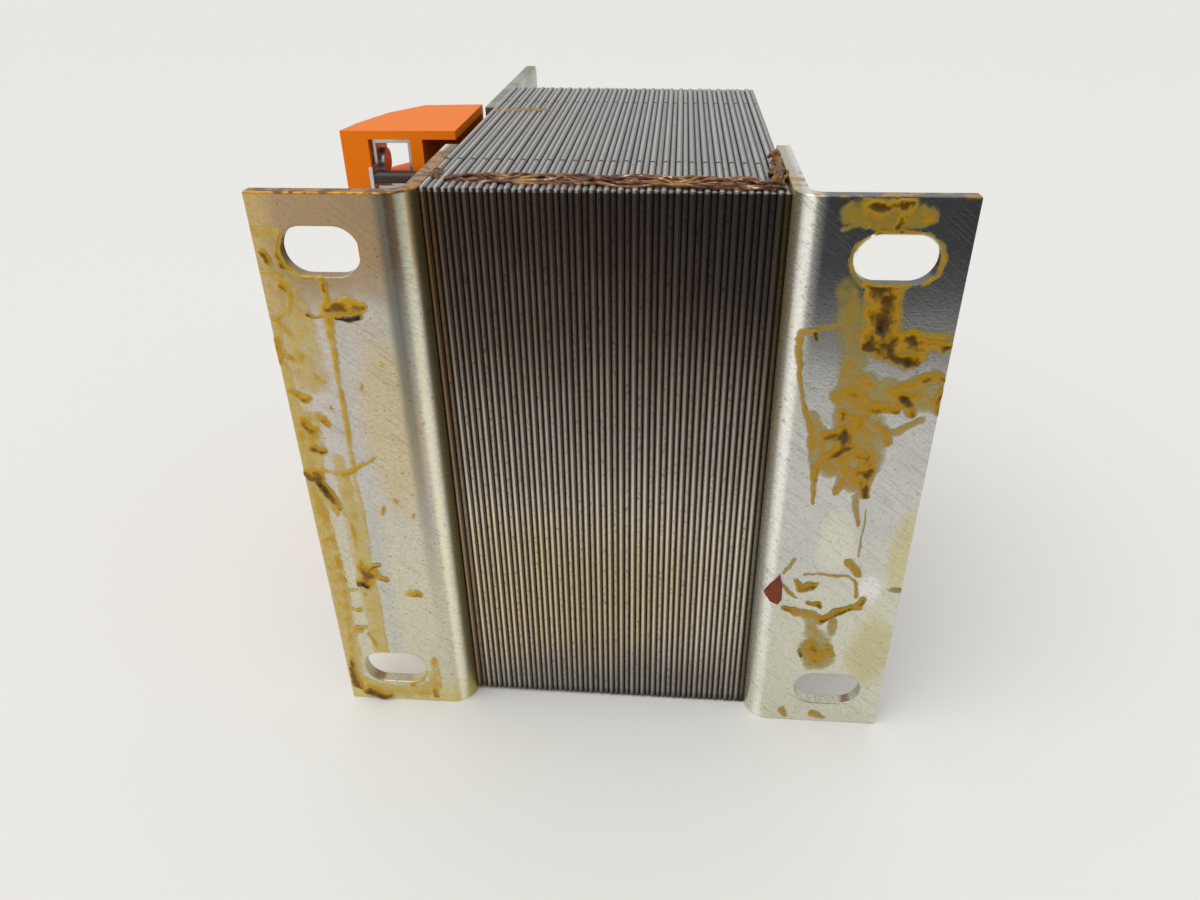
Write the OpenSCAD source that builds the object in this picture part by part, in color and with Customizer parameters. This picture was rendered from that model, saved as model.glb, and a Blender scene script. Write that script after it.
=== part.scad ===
// Chassis transformer with a welded, interleaved E and I core.
// X runs across the stack of sheets, Y from the mounting plane into the transformer, Z along the feet.
// The origin is the centre of the four mounting slots, on the plane that the feet are screwed down to.

/* [Core] */
// Width of the middle limb of an E sheet
tongue_w = 22; // [16:0.5:28]
// Width of the outer limbs, of the back of an E sheet and of an I sheet
limb_w = 11; // [8:0.5:14]
// Width of a coil window, between two limbs
window_w = 11; // [9:0.5:16]
// Length of a coil window, which is the length of the limbs
window_l = 33; // [33:0.5:40]
// Thickness of one sheet
sheet_t = 0.65; // [0.5:0.05:0.75]
// Varnish between two neighbouring sheets
varnish_t = 0.023; // [0.01:0.001:0.05]
// Pairs of sheets, one of each pair lying with its E the other way round
sheet_pairs = 26; // [22:1:28]
// How far every second sheet stands proud of its neighbours, at the faces and ends of the core
stagger = 0.12; // [0.05:0.01:0.2]
// Depth that the core is set back from the mounting plane
set_back = 2.5; // [1:0.1:4]

/* [Feet] */
// Thickness of the feet
foot_t = 1.5; // [1:0.1:2]
// How far a foot reaches out from the side of the core
foot_out = 16.25; // [15:0.25:20]
// Radius of the outside of the bend
bend_r = 3; // [2.2:0.1:4]
// How far a foot runs past each end of the core
foot_past = 0.25; // [0.2:0.05:1]
// Depth of the ears, measured from the mounting plane
ear_depth = 20; // [17:0.5:23]
// Gap left between a foot and the coil, in the cut-out between the ears
coil_gap = 0.6; // [0.4:0.1:1]
// Corner radius of the cut-out between the ears
ear_r = 2; // [1:0.25:3]
// Distance between the slots, across the transformer
slots_x = 54.5; // [53:0.5:56]
// Distance between the slots, along the feet
slots_z = 55; // [48:0.5:57]
// Length of a slot, from end to end
slot_l = 8; // [6:0.25:9]
// Width of a slot
slot_w = 5; // [4:0.1:5.5]

/* [Upper plate] */
// Thickness of the upper plate
plate_t = 1.5; // [1:0.1:1.7]
// How far the plate overlaps the side of the core
plate_lap = 14.5; // [13:0.25:15]
// How far the plate rises past the far side of the core
plate_rise = 23; // [12:0.5:30]
// Corner radius at the outer edge of the plate
plate_r = 1.5; // [0.5:0.25:4]

/* [Bobbin] */
// Gap between the middle limb and the inside of the bobbin
bobbin_gap = 0.5; // [0.45:0.05:0.8]
// Wall of the bobbin's tube
tube_wall = 1; // [0.8:0.05:1.2]
// Corner radius of the bobbin's tube
tube_r = 1.2; // [0.8:0.1:2]
// Corner radius of the bobbin's cheeks
cheek_r = 1.5; // [0.5:0.1:3]
// Thickness of the bobbin's cheeks
cheek_t = 1.1; // [0.8:0.1:1.6]
// Gap between a cheek and the core, along the middle limb
cheek_end_gap = 0.25; // [0.1:0.05:0.4]
// How far the cheeks stand proud of the coil
cheek_proud = 1.6; // [1:0.1:2.5]
// Gap between a cheek and the outer limbs
cheek_side_gap = 1.5; // [1:0.1:2.5]
// Width of the lugs that carry the terminal housing
lug_w = 6; // [4:0.5:8]
// Distance of the lugs from the middle of the bobbin
lug_z = 11; // [8:0.5:14]
// Thickness of the wedges that lock the bobbin on the middle limb
wedge_t = 0.4; // [0.3:0.05:0.45]

/* [Windings] */
// Build of the primary winding
primary_t = 1.9; // [1.2:0.1:2.2]
// Build of the insulation between the windings
barrier_t = 0.3; // [0.2:0.05:0.5]
// Build of the secondary winding
secondary_t = 1.7; // [1.2:0.1:2]
// Build of the tape round the coil
tape_t = 0.4; // [0.2:0.05:0.5]
// Radius of the sleeves on the lead wires
lead_r = 0.7; // [0.5:0.05:0.75]

/* [Terminals] */
// Number of terminals
terminals = 9; // [5:1:10]
// Wall between two terminals, and at the ends of the housing
part_wall = 1; // [0.8:0.05:1.2]
// Thickness of the housing's wall against the coil
web_t = 1.5; // [1:0.1:1.8]
// Gap between the coil and the housing
web_gap = 0.2; // [0.15:0.05:0.4]
// Width of a terminal chamber, from the housing's inner wall to its outer wall
chamber_x = 5.1; // [4.9:0.1:5.5]
// How far short of the bobbin's far end the housing ends
housing_short = 2.85; // [2.5:0.05:3.2]
// Depth of the housing
housing_d = 16.7; // [16:0.1:18]
// Thickness of the outer wall of the housing at its open side
outer_wall = 3.3; // [2.9:0.1:3.6]
// Wall of the terminal clamps
clamp_t = 0.5; // [0.4:0.05:0.6]
// Length of the terminal clamps
clamp_l = 4.4; // [4.2:0.1:5]
// Width of the tag on each clamp, which the lead is soldered to
tag_w = 2.6; // [2:0.1:3]
// Radius of the terminal screws' thread
screw_r = 1.5; // [1.2:0.05:1.6]
// Radius of the terminal screws' heads
head_r = 2.2; // [2:0.05:2.3]
// Height of the terminal screws' heads
head_h = 1.6; // [1.2:0.1:2]

/* [Welds] */
// Half the width of the seam across the core
seam_r = 2.25; // [1.5:0.05:2.4]
// Height of the seam across the core
seam_h = 1.3; // [0.8:0.05:1.5]
// Half the width of the small seams at the feet and the plate
small_seam_r = 1.1; // [0.8:0.05:1.4]
// Height of the small seams
small_seam_h = 0.8; // [0.5:0.05:1]

/* [Hidden] */
$fn = 48;

// The core
sheets = 2 * sheet_pairs;
sheet_pitch = sheet_t + varnish_t;
stack_w = sheets * sheet_t + (sheets - 1) * varnish_t;
side_x = stack_w / 2;
core_len = tongue_w + 2 * window_w + 2 * limb_w;
core_depth = window_l + 2 * limb_w;
core_end = core_len / 2;
core_near = set_back;
core_far = set_back + core_depth;
window_near = core_near + limb_w;
window_far = core_far - limb_w;
window_edge = tongue_w / 2 + window_w;

// The feet and the plate
foot_end = core_end + foot_past;
foot_edge = side_x + foot_out;
window_margin = 0.5;
ear_z = window_edge + window_margin;
ear_neck = window_near - coil_gap;
plate_near = core_far - plate_lap;
plate_far = core_far + plate_rise;
notch_z = window_edge - window_margin;
notch_y = window_far + window_margin;

// The coil
tube_x = side_x + bobbin_gap + tube_wall;
tube_z = tongue_w / 2 + bobbin_gap + tube_wall;
bobbin_near = window_near + cheek_end_gap;
bobbin_far = window_far - cheek_end_gap;
winding_near = bobbin_near + cheek_t;
winding_far = bobbin_far - cheek_t;
winding_gap = 0.05;
wedge_inset = 2;
primary_out = primary_t;
barrier_out = primary_out + barrier_t;
secondary_out = barrier_out + secondary_t;
coil_build = secondary_out + tape_t;
coil_x = tube_x + coil_build;
cheek_z = window_edge - cheek_side_gap;
lug_gap = 0.1;
lug_past = 0.4;
tab_past = 1.2;

// The terminal housing, with X measured outwards from the middle of the core
web_in = coil_x + web_gap;
web_out = web_in + web_t;
chamber_out = web_out + chamber_x;
housing_out = chamber_out + outer_wall;
housing_far = bobbin_far - housing_short;
housing_y = housing_far - housing_d;
housing_gap = 0.4;
housing_in = side_x + plate_t + housing_gap;
housing_end = foot_end;
terminal_pitch = (2 * housing_end - part_wall) / terminals;
chamber_z = terminal_pitch - part_wall;
floor_t = 0.6;
// Where the outer face bends and where its crest ends, as the distance in from the outer wall and the depth
front_bend = [0.7, 4.3];
middle_bend = [2.8, 11];
crest = [6.4, housing_d - 0.5];

// The clamps and the screws
clamp_gap = 0.1;
clamp_inset = 0.9;
clamp_near = housing_y + clamp_inset;
clamp_far = clamp_near + clamp_l;
screw_y = clamp_near + clamp_l / 2;
screw_gap = 0.05;
head_gap = 0.15;
head_slot_w = 0.6;
head_slot_d = 0.8;
// How far the screws stick through the clamps, and how far their heads are backed out
screw_tip = 0.6;
head_lift = 0.4;

// The wire entries, which narrow the chambers by a ledge at each side
entry_ledge = 0.55;
entry_z = chamber_z - 2 * entry_ledge;
entry_near = clamp_far + 3;
chamber_far = entry_near + 0.2;
flare_near = clamp_far + 0.6;
flare_x = chamber_out + 0.9;
entry_lip = 0.1;
// The point outside the slopes that an entry widens to, as the distance out from its flare and its depth
entry_mouth = [1.2, 3.5];
// The roof over the inner side of an entry: its width, and how thick it is at its edge and at the web
roof_w = 2.4;
roof_edge_t = 2.9;
roof_web_t = 4.9;

// The leads: how far they start from the cheek and lie off the terminals' rows
lead_rise = 2;
lead_drop = 1.1;
lead_inset = 5;
lead_spread = (cheek_z - lead_inset) / housing_end;
lead_y = housing_y - lead_r - 0.1;
lead_gap = 0.05;
// How much larger than the sleeve the ball at a lead's bend is
knee = 0.03;

// Row numbers of the terminals on each winding
primary_rows = [for (i = [ceil(terminals / 2):terminals - 1]) i];
secondary_rows = [for (i = [0:floor(terminals / 2) - 1]) i];

// Shapes that several parts share

// A bar along Y with rounded corners, half_x by half_z
module round_bar(half_x, half_z, r, near, far) {
    translate([0, far, 0])
        rotate([90, 0, 0])
            linear_extrude(far - near)
                round_rect(half_x, half_z, r);
}

module round_rect(half_x, half_z, r) {
    square([2 * half_x - 2 * r, 2 * half_z], center = true);
    square([2 * half_x, 2 * half_z - 2 * r], center = true);
    for (sx = [-1, 1], sz = [-1, 1])
        translate([sx * (half_x - r), sz * (half_z - r)])
            circle(r);
}

// One layer wound on the bobbin's tube, from inner to outer build
module coil_layer(inner, outer) {
    near = winding_near + winding_gap;
    far = winding_far - winding_gap;
    difference() {
        round_bar(tube_x + outer, tube_z + outer, tube_r + outer, near, far);
        round_bar(tube_x + inner, tube_z + inner, tube_r + inner, near - 1, far + 1);
    }
}

// A row of solidified weld pools from one point to another, lying on the plane z
module weld_row(from, to, pool_r, pool_h, z) {
    ball_r = (pool_r * pool_r + pool_h * pool_h) / (2 * pool_h);
    run = norm(to - from);
    count = ceil(run / (pool_r * 0.8));
    intersection() {
        for (i = [0:count])
            translate(concat(from + (to - from) * i / count, [z + pool_h - ball_r]))
                sphere(ball_r);
        translate([-foot_edge, 0, z])
            cube([2 * foot_edge, plate_far, pool_h + 1]);
    }
}

// A straight piece of sleeved wire
module wire(from, to, r) {
    run = to - from;
    translate(from)
        rotate([0, acos(run[2] / norm(run)), atan2(run[1], run[0])])
            cylinder(h = norm(run), r = r, $fn = 24);
}

// The core: sheets lie in the YZ plane, and their outlines are drawn as [Y, Z]

// Places one of two kinds of sheet at every second position of the stack
module every_second(first) {
    for (i = [first:2:sheets - 1])
        translate([i * sheet_pitch - side_x, 0, 0])
            rotate([90, 0, 90])
                linear_extrude(sheet_t)
                    children();
}

module i_outline() {
    translate([core_near, -core_end])
        square([limb_w, core_len]);
}

// An E with its back at the far side and its limbs pointing to the mounting plane
module e_outline() {
    difference() {
        translate([window_near, -core_end])
            square([core_far - window_near, core_len]);
        for (s = [-1, 1])
            translate([window_near - 1, s * (tongue_w + window_w) / 2 - window_w / 2])
                square([window_l + 1, window_w]);
    }
}

// Turns an outline end for end about the middle of the core
module turned() {
    translate([core_near + core_far, 0])
        mirror([1, 0])
            children();
}

module core_i_sheets_near() {
    color("#8d8a86")
        every_second(0)
            translate([-stagger, stagger / 2])
                i_outline();
}

module core_e_sheets_far() {
    color("#8d8a86")
        every_second(0)
            translate([-stagger, stagger / 2])
                e_outline();
}

module core_e_sheets_near() {
    color("#7b7875")
        every_second(1)
            translate([0, -stagger / 2])
                turned()
                    e_outline();
}

module core_i_sheets_far() {
    color("#7b7875")
        every_second(1)
            translate([0, -stagger / 2])
                turned()
                    i_outline();
}

// The feet: a folded strip whose inner leg lies against the side of the core

// Section of a foot as [X, Y], with the leg against X = 0
module foot_section() {
    translate([0, bend_r])
        square([foot_t, ear_depth - bend_r]);
    intersection() {
        translate([bend_r, bend_r])
            difference() {
                circle(bend_r, $fn = 64);
                circle(bend_r - foot_t, $fn = 64);
            }
        square(bend_r);
    }
    translate([bend_r, 0])
        square([foot_out - bend_r, foot_t]);
}

module slot(x, z) {
    for (s = [-1, 1])
        translate([x + s * (slot_l - slot_w) / 2, -1, z])
            rotate([-90, 0, 0])
                cylinder(h = foot_t + 2, r = slot_w / 2);
    translate([x - (slot_l - slot_w) / 2, -1, z - slot_w / 2])
        cube([slot_l - slot_w, foot_t + 2, slot_w]);
}

// The cut-out between the ears, which clears the coil
module ear_cut() {
    deep = ear_depth - ear_neck + 1;
    translate([side_x - 1, ear_neck, 0])
        rotate([90, 0, 90])
            linear_extrude(foot_t + 2)
                union() {
                    translate([0, -ear_z + ear_r])
                        square([deep, 2 * ear_z - 2 * ear_r]);
                    translate([ear_r, -ear_z])
                        square([deep - ear_r, 2 * ear_z]);
                    for (s = [-1, 1])
                        translate([ear_r, s * (ear_z - ear_r)])
                            circle(ear_r);
                }
}

module foot() {
    difference() {
        translate([side_x, 0, -foot_end])
            linear_extrude(2 * foot_end)
                foot_section();
        for (s = [-1, 1])
            slot(slots_x / 2, s * slots_z / 2);
        ear_cut();
    }
}

module foot_bracket_left() {
    color("#b9b3a2")
        mirror([1, 0, 0])
            foot();
}

module foot_bracket_right() {
    color("#a9a99a")
        foot();
}

// A flat plate on the left side, cut out in the middle to clear the coil
module upper_plate() {
    color("#9da096")
        translate([-side_x - plate_t, 0, 0])
            rotate([90, 0, 90])
                linear_extrude(plate_t)
                    difference() {
                        union() {
                            translate([plate_near, -core_end])
                                square([plate_far - plate_r - plate_near, 2 * core_end]);
                            translate([plate_far - 2 * plate_r, -core_end + plate_r])
                                square([2 * plate_r, 2 * core_end - 2 * plate_r]);
                            for (s = [-1, 1])
                                translate([plate_far - plate_r, s * (core_end - plate_r)])
                                    circle(plate_r);
                        }
                        translate([plate_near - 1, -notch_z])
                            square([notch_y - plate_near + 1, 2 * notch_z]);
                    }
}

// The welds lie on the upper end of the core
weld_z = core_end + stagger / 2;
seam_inset = 0.5;
seam_y = core_near + seam_r + seam_inset;
foot_seam_lap = 0.3;
foot_seam_x = side_x - foot_seam_lap;
foot_seam_near = seam_y + seam_r + small_seam_r;
foot_seam_short = 1.5;
foot_seam_far = ear_depth - foot_seam_short;

module corner_weld() {
    color("#7d5236")
        weld_row(
            [-side_x + seam_r, seam_y], [side_x - seam_r, seam_y],
            seam_r, seam_h, weld_z
        );
}

module foot_weld_right() {
    color("#8a6138")
        difference() {
            weld_row(
                [foot_seam_x, foot_seam_near], [foot_seam_x, foot_seam_far],
                small_seam_r, small_seam_h, weld_z
            );
            translate([side_x, 0, 0])
                cube([foot_t, ear_depth, foot_end]);
        }
}

module foot_weld_left() {
    color("#5d4a3c")
        mirror([1, 0, 0])
            difference() {
                weld_row(
                    [foot_seam_x, foot_seam_near], [foot_seam_x, foot_seam_near + 3 * small_seam_r],
                    small_seam_r, small_seam_h, weld_z
                );
                translate([side_x, 0, 0])
                    cube([foot_t, ear_depth, foot_end]);
            }
}

module plate_weld() {
    color("#6e5640")
        weld_row(
            [-side_x + small_seam_r, plate_near - small_seam_r],
            [-side_x + 7 * small_seam_r, plate_near - small_seam_r],
            small_seam_r, small_seam_h / 2, weld_z
        );
}

// The coil

// A cheek may reach less far on the left, where the terminal housing stands
module cheek(near, left_reach) {
    right_reach = coil_x + cheek_proud;
    translate([(right_reach - left_reach) / 2, 0, 0])
        round_bar((right_reach + left_reach) / 2, cheek_z, cheek_r, near, near + cheek_t);
}

module bobbin() {
    lug_x = web_out + lug_past;
    color("#d9771f")
        difference() {
            union() {
                round_bar(tube_x, tube_z, tube_r, bobbin_near, bobbin_far);
                cheek(bobbin_near, coil_x + cheek_proud);
                cheek(winding_far, web_in - lug_gap);
                for (s = [-1, 1])
                    translate([-lug_x, winding_far, s * lug_z - lug_w / 2])
                        cube([lug_x - tube_x, cheek_t, lug_w]);
            }
            translate([-side_x - bobbin_gap, bobbin_near - 1, -tongue_w / 2 - bobbin_gap])
                cube([
                    2 * side_x + 2 * bobbin_gap,
                    bobbin_far - bobbin_near + 2,
                    tongue_w + 2 * bobbin_gap,
                ]);
        }
}

// Two thin strips driven in between the middle limb and the tube
module coil_wedges() {
    color("#c9b27a")
        for (s = [-1, 1])
            translate([
                -side_x + wedge_inset,
                bobbin_near,
                s * (tongue_w / 2 + bobbin_gap - wedge_t / 2) - wedge_t / 2,
            ])
                cube([2 * side_x - 2 * wedge_inset, bobbin_far - bobbin_near, wedge_t]);
}

module primary_winding() {
    color("#b4652d")
        coil_layer(0, primary_out);
}

module winding_barrier() {
    color("#e6d9a8")
        coil_layer(primary_out, barrier_out);
}

module secondary_winding() {
    color("#a85a28")
        coil_layer(barrier_out, secondary_out);
}

module coil_tape() {
    color("#2b2724")
        coil_layer(secondary_out, coil_build);
}

// The terminals, drawn on the right and mirrored to the left, with row 0 at the lower end

function row_z(i) = -housing_end + part_wall + chamber_z / 2 + i * terminal_pitch;

// Outline of the housing as [X, Y]: square at its open side and sloped twice towards its far side
module housing_outline() {
    polygon([
        [housing_in, housing_y],
        [housing_out, housing_y],
        [housing_out - front_bend[0], housing_y + front_bend[1]],
        [housing_out - middle_bend[0], housing_y + middle_bend[1]],
        [housing_out - crest[0], housing_y + crest[1]],
        [housing_in, housing_far],
    ]);
}

// A chamber open towards the mounting plane, flaring to the wire entry in the two slopes
module chamber_outline() {
    polygon([
        [web_out, housing_y - 1],
        [chamber_out, housing_y - 1],
        [chamber_out, flare_near],
        [flare_x, entry_near],
        [flare_x, chamber_far],
        [web_out, chamber_far],
    ]);
}

module entry_outline() {
    polygon([
        [web_out, entry_near],
        [flare_x - entry_lip, entry_near],
        [flare_x + entry_mouth[0], entry_near + entry_mouth[1]],
        [chamber_out, housing_far + 1],
        [web_out + roof_w, housing_far + 1],
        [web_out + roof_w, housing_far - roof_edge_t],
        [web_out, housing_far - roof_web_t],
    ]);
}

module terminal_housing() {
    color("#e8700c")
        mirror([1, 0, 0])
            difference() {
                union() {
                    translate([0, 0, -housing_end])
                        linear_extrude(2 * housing_end)
                            housing_outline();
                    // The tab that the bobbin's lugs snap into
                    translate([web_in, housing_far - 1, -lug_z - lug_w])
                        cube([web_t, bobbin_far + tab_past - housing_far + 1, 2 * lug_z + 2 * lug_w]);
                }
                // The coil stands in the middle of the housing
                translate([0, housing_y - 1, -cheek_z - 0.5])
                    cube([web_in, housing_d + 2, 2 * cheek_z + 1]);
                // Beyond the coil the hollow has a floor and end walls
                translate([0, housing_y - 1, -housing_end + part_wall])
                    cube([web_in, housing_d + 1 - floor_t, 2 * housing_end - 2 * part_wall]);
                for (i = [0:terminals - 1])
                    translate([0, 0, row_z(i)]) {
                        translate([0, 0, -chamber_z / 2])
                            linear_extrude(chamber_z)
                                chamber_outline();
                        translate([0, 0, -entry_z / 2])
                            linear_extrude(entry_z)
                                entry_outline();
                        translate([chamber_out - 1, screw_y, 0])
                            rotate([0, 90, 0])
                                cylinder(h = outer_wall + 2, r = head_r + head_gap);
                    }
                for (s = [-1, 1])
                    translate([web_in - 1, winding_far - lug_gap, s * lug_z - lug_w / 2 - lug_gap])
                        cube([web_t + 2, cheek_t + 2 * lug_gap, lug_w + 2 * lug_gap]);
            }
}

// A folded metal frame in each chamber, open along Y, with a tag for the lead
module clamp() {
    half_z = chamber_z / 2 - clamp_gap;
    x0 = web_out + clamp_gap;
    x1 = chamber_out - clamp_gap;
    difference() {
        union() {
            translate([x0, clamp_near, -half_z])
                cube([x1 - x0, clamp_far - clamp_near, 2 * half_z]);
            translate([x1 - clamp_t, lead_y - lead_r, -lead_drop - tag_w / 2])
                cube([clamp_t, clamp_near - lead_y + lead_r, tag_w]);
        }
        translate([x0 + clamp_t, clamp_near - 1, -half_z + clamp_t])
            cube([x1 - x0 - 2 * clamp_t, clamp_far - clamp_near + 2, 2 * half_z - 2 * clamp_t]);
        translate([x1 - clamp_t - 1, screw_y, 0])
            rotate([0, 90, 0])
                cylinder(h = clamp_t + 2, r = screw_r + screw_gap);
    }
}

module terminal_clamps() {
    color("#b9bcc0")
        mirror([1, 0, 0])
            for (i = [0:terminals - 1])
                translate([0, 0, row_z(i)])
                    clamp();
}

// A slotted cheese head screw, backed out as delivered
module terminal_screw() {
    tip_x = chamber_out - clamp_gap - clamp_t - screw_tip;
    head_x = chamber_out + head_lift;
    difference() {
        translate([tip_x, screw_y, 0])
            rotate([0, 90, 0]) {
                cylinder(h = head_x - tip_x, r = screw_r);
                translate([0, 0, head_x - tip_x])
                    cylinder(h = head_h, r = head_r);
            }
        translate([head_x + head_h - head_slot_d, screw_y - head_slot_w / 2, -head_r - 1])
            cube([head_slot_d + 1, head_slot_w, 2 * head_r + 2]);
    }
}

module terminal_screws() {
    color("#c7c9cb")
        mirror([1, 0, 0])
            for (i = [0:terminals - 1])
                translate([0, 0, row_z(i)])
                    terminal_screw();
}

// A sleeved lead from the coil's face to the tag of the clamp in row i
module lead(i) {
    z = row_z(i) - lead_drop;
    clear_x = coil_x + lead_r + knee + lead_gap;
    tag_x = chamber_out - clamp_gap - clamp_t;
    start = [clear_x, winding_near + lead_rise, z * lead_spread];
    turn = [clear_x, lead_y, z];
    wire(start, turn, lead_r);
    translate(turn)
        sphere(lead_r + knee, $fn = 24);
    wire(turn, [tag_x, lead_y, z], lead_r);
}

module primary_leads() {
    color("#241f1d")
        mirror([1, 0, 0])
            for (i = primary_rows)
                lead(i);
}

module secondary_leads() {
    color("#3a2a22")
        mirror([1, 0, 0])
            for (i = secondary_rows)
                lead(i);
}

core_i_sheets_near();
core_e_sheets_far();
core_e_sheets_near();
core_i_sheets_far();
foot_bracket_left();
foot_bracket_right();
upper_plate();
corner_weld();
foot_weld_left();
foot_weld_right();
plate_weld();
bobbin();
coil_wedges();
primary_winding();
winding_barrier();
secondary_winding();
coil_tape();
terminal_housing();
terminal_clamps();
terminal_screws();
primary_leads();
secondary_leads();
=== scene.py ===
import bmesh
import bpy
import numpy as np
from mathutils import Matrix, Vector


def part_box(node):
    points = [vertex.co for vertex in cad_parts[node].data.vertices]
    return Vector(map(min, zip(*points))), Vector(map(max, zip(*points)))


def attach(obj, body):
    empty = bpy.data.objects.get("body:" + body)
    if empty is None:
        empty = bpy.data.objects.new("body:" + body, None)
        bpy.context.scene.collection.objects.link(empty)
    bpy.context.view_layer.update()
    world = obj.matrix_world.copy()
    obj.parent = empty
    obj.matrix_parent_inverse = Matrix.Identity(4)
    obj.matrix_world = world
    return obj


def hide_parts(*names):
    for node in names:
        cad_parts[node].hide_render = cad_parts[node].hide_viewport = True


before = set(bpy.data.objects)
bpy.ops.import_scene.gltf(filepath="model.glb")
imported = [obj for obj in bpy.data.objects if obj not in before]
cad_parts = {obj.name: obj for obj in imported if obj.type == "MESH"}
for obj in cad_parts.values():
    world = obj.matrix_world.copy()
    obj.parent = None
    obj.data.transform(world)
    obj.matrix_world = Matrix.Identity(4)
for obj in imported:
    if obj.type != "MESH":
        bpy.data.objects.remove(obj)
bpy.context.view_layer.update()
scene = bpy.context.scene
scene.view_settings.view_transform = "Standard"
mm = 0.001
rest_z = min(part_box(node)[0][2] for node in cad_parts)


# The camera stands low and close in front of the mounting side and looks down on it, so that the
# core's upper end shows as well. Its lens is a wide one, as a small camera has.
camera_place = Vector((6.9, -80.54, 55.29)) * mm
camera_pitch, camera_roll, camera_yaw = (np.radians(a) for a in (-31.3, -0.976, -5.2))
lens_mm = 26.66

ahead = Vector((
    np.sin(camera_yaw) * np.cos(camera_pitch),
    np.cos(camera_yaw) * np.cos(camera_pitch),
    np.sin(camera_pitch),
))
level_right = Vector((np.cos(camera_yaw), -np.sin(camera_yaw), 0))
level_up = level_right.cross(ahead)
across = np.cos(camera_roll) * level_right + np.sin(camera_roll) * level_up
upward = -np.sin(camera_roll) * level_right + np.cos(camera_roll) * level_up
camera_data = bpy.data.cameras.new("camera")
camera_data.lens = lens_mm
camera_data.clip_start = 1 * mm
camera = bpy.data.objects.new("camera", camera_data)
turned = Matrix((across, upward, -ahead)).transposed().to_4x4()
camera.matrix_world = Matrix.Translation(camera_place) @ turned
scene.collection.objects.link(camera)
scene.camera = camera


# The core is a stack of sheets of varnished electrical steel, each punched as an E and an I. Every second
# pair lies the other way round, and stands back a little from its neighbours. The punch rounds one edge
# of a sheet and leaves the other sharper, so each sheet shows as a ridge of its own.
sheet_pairs = 26
sheet_thickness = 0.65
sheet_rounding = 0.24
sheet_arris = 0.13
sheet_corner = 0.2
sheet_slip = 0.03
stack_lean = 0.35


class Value:
    """A number or a colour that a material works out at each point of a surface."""

    def __init__(self, paint, socket):
        self.paint = paint
        self.socket = socket

    def __add__(self, other):
        return self.paint.sum("ADD", self, other)

    def __sub__(self, other):
        return self.paint.sum("SUBTRACT", self, other)

    def __rsub__(self, other):
        return self.paint.sum("SUBTRACT", other, self)

    def __mul__(self, other):
        return self.paint.sum("MULTIPLY", self, other)

    def __truediv__(self, other):
        return self.paint.sum("DIVIDE", self, other)

    __radd__ = __add__
    __rmul__ = __mul__


class Paint:
    """One material, whose pattern is laid out in millimetres on the piece itself."""

    def __init__(self, name, metallic=0.0, roughness=0.5, **plain):
        self.material = bpy.data.materials.new(name)
        self.material.use_nodes = True
        self.tree = self.material.node_tree
        self.tree.nodes.clear()
        self.shader = self.node("ShaderNodeBsdfPrincipled")
        output = self.node("ShaderNodeOutputMaterial")
        self.tree.links.new(self.shader.outputs[0], output.inputs["Surface"])
        self.set(Metallic=metallic, Roughness=roughness, **plain)
        place = self.node("ShaderNodeTexCoord").outputs["Object"]
        scaled = self.node("ShaderNodeVectorMath", {"operation": "SCALE"}, {0: place, "Scale": 1 / mm})
        self.place = scaled.outputs[0]
        split = self.node("ShaderNodeSeparateXYZ", inputs={0: self.place})
        self.x, self.y, self.z = (Value(self, s) for s in split.outputs)

    def node(self, kind, settings=None, inputs=None):
        made = self.tree.nodes.new(kind)
        for key, value in (settings or {}).items():
            setattr(made, key, value)
        for key, value in (inputs or {}).items():
            self.feed(made.inputs[key], value)
        return made

    def feed(self, socket, value):
        value = getattr(value, "socket", value)
        if isinstance(value, bpy.types.NodeSocket):
            self.tree.links.new(value, socket)
        elif socket.type == "RGBA":
            socket.default_value = (*value, 1)
        else:
            socket.default_value = value

    def set(self, **inputs):
        for key, value in inputs.items():
            self.feed(self.shader.inputs[key.replace("_", " ")], value)

    def sum(self, operation, a, b):
        return Value(self, self.node("ShaderNodeMath", {"operation": operation}, {0: a, 1: b}).outputs[0])

    def step(self, value, low, high):
        """0 below low and 1 above high, or the other way round where low is above high."""
        made = self.node("ShaderNodeMapRange", {"interpolation_type": "SMOOTHSTEP"}, {"Value": value})
        for key, number in (("From Min", min(low, high)), ("From Max", max(low, high))):
            made.inputs[key].default_value = number
        made.inputs["To Min"].default_value = float(low > high)
        made.inputs["To Max"].default_value = float(low < high)
        return Value(self, made.outputs[0])

    def band(self, value, low, high, soft):
        return self.step(value, low - soft, low + soft) * self.step(value, high + soft, high - soft)

    def spot(self, across, up, middle, half_size):
        """1 in the middle of an oval and 0 outside it."""
        side = (across - middle[0]) / half_size[0]
        rise = (up - middle[1]) / half_size[1]
        return self.step(side * side + rise * rise, 1, 0.2)

    def noise(self, size, detail=2, stretch=(1, 1, 1), roughness=0.5):
        """Cloudy noise round 0.5, with clouds of about the given size in millimetres."""
        spread = self.node(
            "ShaderNodeVectorMath", {"operation": "MULTIPLY"},
            {0: self.place, 1: [1 / (size * s) for s in stretch]},
        ).outputs[0]
        made = self.node(
            "ShaderNodeTexNoise",
            inputs={"Vector": spread, "Scale": 1, "Detail": detail, "Roughness": roughness},
        )
        return Value(self, made.outputs["Fac"])

    def mix(self, under, over, amount):
        made = self.node("ShaderNodeMix", {"data_type": "RGBA"}, {0: amount})
        self.feed(made.inputs[6], under)
        self.feed(made.inputs[7], over)
        return Value(self, made.outputs[2])

    def bump(self, height, strength, distance):
        made = self.node(
            "ShaderNodeBump", inputs={"Strength": strength, "Distance": distance * mm, "Height": height}
        )
        self.set(Normal=made.outputs[0])


def rgb(red, green, blue):
    """A colour given in the usual screen numbers, as the light that it stands for."""
    return [((c / 255 + 0.055) / 1.055) ** 2.4 if c > 10 else c / 3295 for c in (red, green, blue)]


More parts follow.
